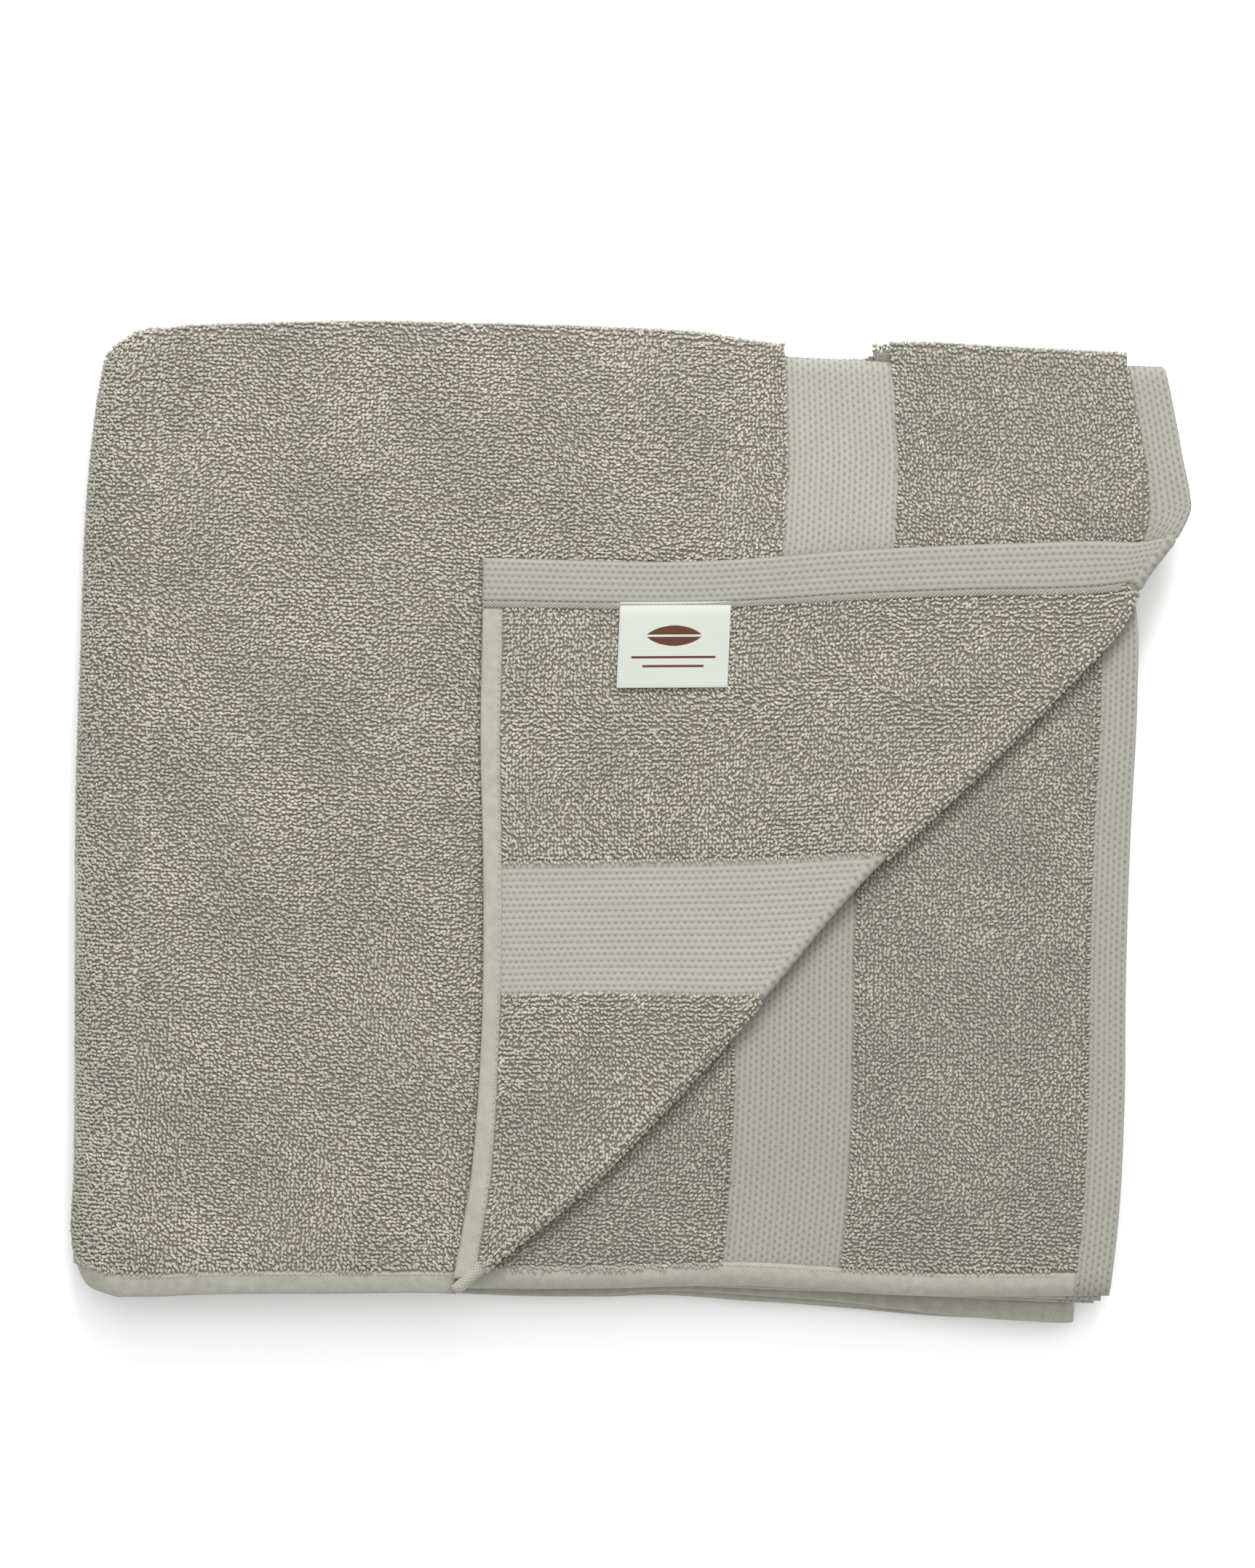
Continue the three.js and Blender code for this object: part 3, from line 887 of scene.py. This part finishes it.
def pulled_to_fold(x, y):
    """Moves spots near the diagonal fold out with its waves."""
    off_x, off_y = x - fold_end[0], y - fold_end[1]
    from_end = -(off_x * along_fold[0] + off_y * along_fold[1])
    inside = -(off_x * out_of_fold[0] + off_y * out_of_fold[1])
    push = fold_bulge(from_end) * np.exp(-(np.clip(inside, 0, None) / fold_softness(from_end)) ** 2)
    return x + out_of_fold[0] * push, y + out_of_fold[1] * push


def on_end(ply, back=None):
    """Cloth of an upper ply, past where the sway of its end begins. back is where the zone turns over."""
    def place(x, t):
        edge = back_edge(x) if back is None else np.full_like(t, back)
        y, inwards = over_back(t, edge, ply % 2 == 1)
        z = middle(ply) - inwards + lie_of_cloth(x, y) * ply / 7 - droop(ply, x, t)
        if back is not None:
            z = z - band_recess
        sx, sy = x + end_sway(ply, x, y), y
        if ply == 7:
            sx, sy = pulled_to_fold(sx, sy)
        return np.stack([sx, sy, z], -1)
    return place


def fold_line(x):
    return fold_start[1] + (x - fold_start[0]) * along_fold[1] / along_fold[0]


def upper_front(ply, x, beyond_hem=True):
    """Where a zone of an upper ply starts at the front: at the side hem, or at the diagonal fold."""
    front = float(front_edge(ply, x)) + (hem_width - hem_lap if beyond_hem else 0)
    return max(front, fold_line(x)) if ply == 7 else front


def zone_sides(ply, back, lap_back=0.0, beyond_hem=True):
    return lambda x: (
        upper_front(ply, x, beyond_hem),
        (float(back_edge(x)) if back is None else back) + (turnover if ply % 2 else 0) + lap_back,
    )


def upper_ply(ply, core, step):
    """The five zones of one upper ply, each its own piece of cloth, next to each other without a gap."""
    name = PLIES[ply]
    band, strip, hem, end = ENDS[ply]
    overlap = 0.6
    dobby = shaded_dobby_finish if ply == 6 else dobby_finish
    hem_dobby = shaded_dobby_finish if ply == 6 else hem_dobby_finish
    zones = (
        ("terry", left_axis[0], band, None, core, core, "terry", ground_finish),
        ("band", band - overlap, strip + overlap, band_back, band_half, band_half, "band", dobby),
        ("end_strip", strip, hem, None, core, core, "terry", ground_finish),
        ("end_hem", hem - overlap, end, hem_back, end_hem_half, end_hem_half, "hem", hem_dobby),
    )
    for zone, first, last, back, up, down, slot, finish in zones:
        hand_over(cloth(
            f"{name}_ply_{zone}_cloth", on_end(ply, back), (first, last),
            zone_sides(ply, back, beyond_hem=zone != "end_hem"), up, down,
            step if slot == "terry" else (min(step[0], 2.5), min(step[1], 4)), finish,
        ), "upper_half", f"{name}_ply_{zone}", slot)
    last = fold_start[0] + 2.5 if ply == 7 else end - 14
    hand_over(cloth(
        f"{name}_ply_side_hem_cloth", on_end(ply), (left_axis[0], last),
        lambda x: (float(front_edge(ply, x)), float(front_edge(ply, x)) + hem_width),
        hem_half, hem_half, (3, 1.3), hem_finish,
    ), "upper_half", f"{name}_ply_side_hem", "hem")


for ply in (4, 5):
    upper_ply(ply, hidden_core, (7, 5))

for zone, ends, seed in (("", (left_axis[0], ENDS[5][0]), 71), ("_strip", ENDS[5][1:3], 72)):
    terry_area(f"third_ply{zone}_back_pile", "upper_half", sow(
        on_end(5), ends, lambda x: round_back(float(back_edge(x))),
        1.8, hidden_core + 0.2, seed, wander, loose, front=0,
    ), seed=seed)

# The fourth ply's underside is bared when the pad is opened.
for zone, first, last, seed in (
    ("terry", left_axis[0] + fold_clear, ENDS[4][0], 73),
    ("strip", ENDS[4][1], ENDS[4][2], 74),
):
    terry_area(f"fourth_ply_bared_{zone}_pile", "upper_half", sow(
        on_end(4), (first, last), zone_sides(4, None, -2), pressed_pitch, hidden_core, seed, wander,
        pressed_lean, under=True, front=0,
    ), pressed_loop, seed)

# ---- Upper half: the second ply ----
# Its front right part lies open where the top ply's corner is turned back: plush field, dobby band,
# plush strip, end hem, and the side hem along the front with a row of stitches on each hem.
upper_ply(6, terry_core, (4, 4))


def shown_second(x):
    """The open part of the second ply, a little past the diagonal fold."""
    return upper_front(6, x) - 2.6 + 0.02 * abs(x), min(fold_line(x) + 14, 187)


# The second ply's loops get a low base tone: painted shade, because this ply lies lower, beside the raised
# top ply and corner.
for zone, first, last, seed in (
    ("terry", -70, ENDS[6][0] + 0.6, 80),
    ("strip", ENDS[6][1] - 0.6, ENDS[6][2] + 0.2, 81),
):
    terry_area(f"second_ply_{zone}_pile", "upper_half", sow(
        on_end(6), (first, last), shown_second, loop_pitch, loop_foot, seed, in_columns,
        straight_up, tone_and_painted_shade=0.2, front=0.35,
    ), seed=seed)

stitch_form = bead("stitch_form", 6, 2.2, 0.75, 0.35, 0.3, 0.6)

made = Finish("sewing thread")
ply_twist = made.noise(2200, 2)
colour = made.mix(ply_twist, (0.2, 0.195, 0.16), (0.42, 0.415, 0.35))
thread_finish = made.coat(colour, 0.7, made.bump(ply_twist, 0.6, 0.0003), sheen=0.1)


def stitches(name, body, node, place, a, t, lift, scale=1.0):
    """A row of lockstitches that follows the given line on the cloth."""
    spot, normal, _, _ = facing(place, a, t)
    along_row = np.gradient(spot, axis=0)
    along_row /= np.linalg.norm(along_row, axis=-1, keepdims=True)
    size = np.full(a.shape + (3,), float(scale))
    direction = np.arctan2(np.gradient(t), np.gradient(a))
    flat = np.stack([a, t, np.cos(direction), np.sin(direction)], -1)
    piece = plant(
        name, spot + normal * lift, normal, along_row, size, np.full(a.shape, 0.5), flat,
        stitch_form, thread_finish, 3, 0.06,
    )
    carry(piece, body)
    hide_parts(node)


stitch_pitch = 2.5
thread_sunk = 0.05


def seam_rows(ply, run, rise):
    """The rows of stitches on an upper ply: along its side hem at run, and up its end hem at rise."""
    name = f"{PLIES[ply]}_ply"
    side = np.array([float(front_edge(ply, x)) + hem_width - 1.6 for x in run])
    stitches(
        f"{name}_side_stitches", "upper_half", f"{name}_side_seam", on_end(ply),
        run, side, hem_half - thread_sunk,
    )
    stitches(
        f"{name}_end_stitches", "upper_half", f"{name}_end_seam", on_end(ply, hem_back),
        np.full_like(rise, ENDS[ply][2] + 1.4), rise, end_hem_half - thread_sunk,
    )


seam_rows(6, np.arange(-188, 177, stitch_pitch), np.arange(-176, 180, stitch_pitch))

# ---- Upper half: the top ply ----
# The plush face of the pad. Loops lean away from the fold at the left and stand up near the band. The
# terry swells past the thin band at the back, and the end hem turns in towards the diagonal fold.
upper_ply(7, terry_core, (3, 3))
band, strip, hem, end = ENDS[7]
shown_top = zone_sides(7, None, 0.8)

terry_area("top_ply_terry_pile", "upper_half", sow(
    on_end(7), (left_axis[0] + 2.6, band + 0.7), shown_top, 1.56, loop_foot, 90,
    plush_way, plush_lean, front=0.5, free=(0, 1),
), seed=90)
terry_area("top_ply_strip_pile", "upper_half", sow(
    on_end(7), (strip - 0.6, hem + 0.3), shown_top, loop_pitch, loop_foot, 95,
    in_columns, straight_up, front=0, tone_and_painted_shade=0.3,
), seed=95)

seam_rows(
    7, np.arange(-190, fold_start[0], stitch_pitch), np.arange(fold_line(hem) + 6, 184, stitch_pitch)
)

# ---- The diagonal fold ----
# The soft round edge over which the corner is turned back. Each zone of the cloth runs over it in
# its own thickness: hem, plush, band, plush again.
flat_front, flat_end = 262.17, 298.32
HEM_END, BAND_START, BAND_END = 16.0, 107.5, 154.5
ply_top_level, flap_level = middle(7), 39.75
roll = (flap_level - ply_top_level) / 2
fold_lap = 2.2


def on_diagonal(a, t):
    """Cloth round the diagonal fold. -a is measured from the end hem, t from the top ply up and over."""
    u = -a
    from_end = u / flat_front * fold_length
    x = fold_end[0] - along_fold[0] * from_end
    y = fold_end[1] - along_fold[1] * from_end
    turn = np.clip(t / roll, 0, math.pi)
    past = np.clip(-t, 0, None) + np.clip(t - math.pi * roll, 0, None)
    snug = 0.45 + 0.55 * np.clip(np.minimum(from_end, fold_length - from_end) / 30, 0, 1)
    bulge = fold_bulge(from_end) * np.exp(-(past / fold_softness(from_end)) ** 2)
    reach_out = bulge + roll * snug * np.sin(turn) - past
    z = (ply_top_level + flap_level) / 2 - roll * np.cos(turn)
    x, y = x + out_of_fold[0] * reach_out, y + out_of_fold[1] * reach_out
    return np.stack([x, y, z + lie_of_cloth(x, y)], -1)


crease_reach = 13
crease_middle = np.array((75.5, -37.25))
crease_far = crease_middle - crease_reach * out_of_fold
crease = (
    "upper_half", "corner_flap",
    (crease_middle[0] * MM, crease_middle[1] * MM, ply_top_level * MM),
    (crease_far[0] * MM, crease_far[1] * MM, flap_level * MM),
)
overlap = 0.5
roll_pieces = (
    ("hem", 0.0, HEM_END, end_hem_half, "hem", hem_dobby_finish),
    ("strip", HEM_END - overlap, BAND_START + overlap, terry_core, "terry", ground_finish),
    ("band", BAND_START - overlap, BAND_END + overlap, band_half, "band", dobby_finish),
    ("terry", BAND_END, 251.0, terry_core, "terry", ground_finish),
    ("side_hem", 250.0, 260.5, hem_half, "hem", hem_finish),
)
for label, first, last, half, slot, finish in roll_pieces:
    hand_over(cloth(
        f"corner_fold_{label}_cloth", on_diagonal, (-last, -first),
        lambda a: (-fold_lap, math.pi * roll + fold_lap), half + 0.04, half + 0.04, (2.2, 0.9), finish,
        unit=fold_length / flat_front,
    ), crease, "corner_fold_roll" if label == "strip" else None, slot)
for label, first, last in (("strip", HEM_END, BAND_START), ("terry", BAND_END, 251.0)):
    terry_area(f"corner_fold_{label}_pile", crease, sow(
        on_diagonal, (-last, -first), lambda a: (0.0, math.pi * roll + 0.5), 1.3, loop_foot,
        100 + int(first), lambda a, t: 1.6 + 0 * a, straight_up, front=0,
    ), seed=100)

# ---- The turned-back corner ----
# The towel's corner, laid back over the top ply so that the cloth's other face shows: end hem along
# its back edge, side hem down its left edge, and between them plush, the dobby band and plush again.
corner_tip = np.array((-65.80, 100.29))


def on_flap(u, v):
    """Cloth of the turned-back corner. u runs down from the end hem, v in from the side hem."""
    to_front, to_end = fold_start - corner_tip, fold_end - corner_tip
    x, y = (corner_tip[k] + to_front[k] * u / flat_front + to_end[k] * v / flat_end for k in (0, 1))
    side_bow = ((0, 2.4), (20, 3), (60, 3.6), (120, 6.8), (163, 7.7), (218, 5.2), (251, 1.8), (262, 0.5))
    end_bow = ((0, -0.6), (94, -3.2), (167, 0.6), (228, 2.2), (270, 2.2), (298, -1))
    x = x + through(side_bow, u) * np.exp(-np.clip(v, 0, None) / 45)
    y = y + through(end_bow, v) * np.exp(-np.clip(u, 0, None) / 50)
    x, y = pulled_to_fold(x, y)
    edge = np.clip(1 - np.minimum(u, v) / 14, 0, 1)
    z = flap_level + lie_of_cloth(x, y) - 0.5 * edge ** 2
    return np.stack([x, y, z], -1)


def to_fold(u):
    return flat_end * (1 - u / flat_front)


inner = hem_width - hem_lap
flap_zones = (
    ("end_hem", 0.0, HEM_END, 0.0, end_hem_half, "hem", hem_dobby_finish, (1.6, 3)),
    ("end_strip", HEM_END - overlap, BAND_START, inner, terry_core, "terry", ground_finish, (3, 3)),
    ("band", BAND_START - overlap, BAND_END + overlap, inner, band_half, "band", dobby_finish, (2.5, 3)),
    ("terry", BAND_END, 250.0, inner, terry_core, "terry", ground_finish, (3, 2.5)),
)

# The hem's turned edge, pulled into slanting ridges by its stitches.
made = Finish("twisted edge")
a, t = made.weave()
ridges = wave_on(t + a * 1.5, 0.0017)
worn = made.noise(500, 2)
colour = made.mix(ridges * 0.7 + worn * 0.3, (0.12, 0.117, 0.097), (0.36, 0.355, 0.305))
cord_finish = made.coat(colour, 0.88, made.bump(ridges, 0.8, 0.0005), sheen=0.1)

hem_cord = add_to(cloth(
    "corner_end_hem_cord", lambda a, t: on_flap(a, t) + np.array((0, 0, 1.6)), (HEM_END - 0.4, HEM_END + 1.8),
    lambda u: (0.4, to_fold(HEM_END) - 6), 0.75, 0.75, (0.5, 2.5), cord_finish,
), crease)
for zone, first, last, side_start, half, slot, finish, step in flap_zones:
    hand_over(cloth(
        f"corner_{zone}_cloth", on_flap, (first, last), lambda u: (side_start, to_fold(u)),
        half, half, step, finish,
    ), crease, f"corner_{zone}", slot)
hand_over(cloth(
    "corner_side_hem_cloth", on_flap, (HEM_END - 1, 256.0), lambda u: (0.0, min(hem_width, to_fold(u))),
    hem_half, hem_half, (3, 1.3), hem_finish,
), crease, "corner_side_hem", "hem")


def flap_way(u, v):
    turns = ((0, -2), (35, -2), (60, 0.3), (160, 0.3), (195, -1.3), (262, -1.3))
    return 0.9 * ripple(u, v, 60, 41) + through(turns, u)


for label, first, last, seed in (
    ("strip", HEM_END + 0.2, BAND_START + 0.5, 110),
    ("terry", BAND_END - 0.5, 252.0, 114),
):
    for face, under in (("", False), ("_under", True)):
        terry_area(f"corner_{label}_pile{face}", crease, sow(
            on_flap, (first, last), lambda u: (hem_width + 0.3, to_fold(u) + 0.5),
            2.0 if under else loop_pitch, terry_core + loop_lift * (not under), seed, flap_way, loose,
            under=under, big=1.15 if under else 1.0, tone_and_painted_shade=0.45, front=0.5,
        ), small_loop if under else plush_loop, seed)

down = np.arange(HEM_END + 1, 254, stitch_pitch)
stitches(
    "corner_side_stitches", crease, "corner_side_seam", on_flap,
    down, np.full_like(down, hem_width - 1.5), hem_half - thread_sunk,
)
run = np.arange(1, to_fold(HEM_END) - 4, 1.7)
stitches(
    "corner_end_stitches", crease, "corner_end_seam", on_flap,
    np.full_like(run, HEM_END - 0.2), run, end_hem_half - 0.5, scale=1.25,
)

# ---- The label ----
# A small white satin label, its top edge caught under the end hem's stitching and its other three
# edges free. It bears a plain leaf and two lines, woven in brown.
label_start = np.array((-8.6, 85.0))
label_way = np.array((0.9985, 0.0545))
label_down = np.array((0.006, -1.0))
label_width, label_drop, label_half = 43.6, 34.0, 0.35
label_level = 42.75


def on_label(a, t):
    """a runs down from the sewn edge, t to the right."""
    x, y = (label_start[k] + label_down[k] * a + label_way[k] * t for k in (0, 1))
    tucked = 2.2 * np.clip(1 - a / 5, 0, 1) ** 2
    free = a / label_drop
    z = label_level + lie_of_cloth(x, y) + 0.25 * np.sin(t / 9.0) * free + 0.3 * free**2 - tucked
    return np.stack([x, y, z], -1)


made = Finish("label satin")
a, t = made.weave()
ribs = wave_on(a, 0.0006) * 0.6 + wave_on(t, 0.0011) * 0.4
colour = made.mix(ribs, (0.36, 0.38, 0.346), (0.405, 0.425, 0.39))
satin_finish = made.coat(colour, 0.42, made.bump(ribs, 0.35, 0.00015), sheen=0.1)

label_piece = cloth(
    "label_cloth", on_label, (0, label_drop), lambda a: (0, label_width),
    label_half, label_half, (1.6, 1.6), satin_finish,
)

made = Finish("brown weft")
a, t = made.weave()
ribs = wave_on(a, 0.0006)
colour = made.mix(ribs, (0.05, 0.018, 0.008), (0.09, 0.032, 0.015))
brown_finish = made.coat(colour, 0.6, made.bump(ribs, 0.3, 0.0001))


def motif(name, across, sides):
    return add_to(cloth(
        name, lambda a, t: on_label(a, t) + np.array((0, 0, label_half + 0.02)), across, sides, 0.09, 0.09,
        (0.5, 0.6), brown_finish,
    ), "label")


leaf_middle, leaf_length, leaf_width = (13.5, label_width / 2), 22.0, 8.0


def leaf_sides(a):
    """The two sides of a plain pointed leaf that lies along the label."""
    from_middle = abs(a - leaf_middle[0]) / (leaf_width / 2)
    reach_here = leaf_length / 2 * math.sqrt(max(0.02, 1 - from_middle ** 1.3))
    return leaf_middle[1] - reach_here, leaf_middle[1] + reach_here


rib = 0.45
leaf_top, leaf_foot = leaf_middle[0] - leaf_width / 2, leaf_middle[0] + leaf_width / 2
upper_leaf = motif("label_leaf_upper", (leaf_top, leaf_middle[0] - rib), leaf_sides)
lower_leaf = motif("label_leaf_lower", (leaf_middle[0] + rib, leaf_foot), leaf_sides)
lines_below = [
    motif(name, (at, at + 0.9), lambda a, w=wide: ((label_width - w) / 2, (label_width + w) / 2))
    for name, at, wide in (("label_line_1", 21.5, 33.0), ("label_line_2", 25.0, 24.0))
]
hand_over(
    label_piece, "label", "label", "label",
)

for form in (plush_loop, small_loop, pressed_loop, stitch_form):
    bpy.data.objects.remove(form)
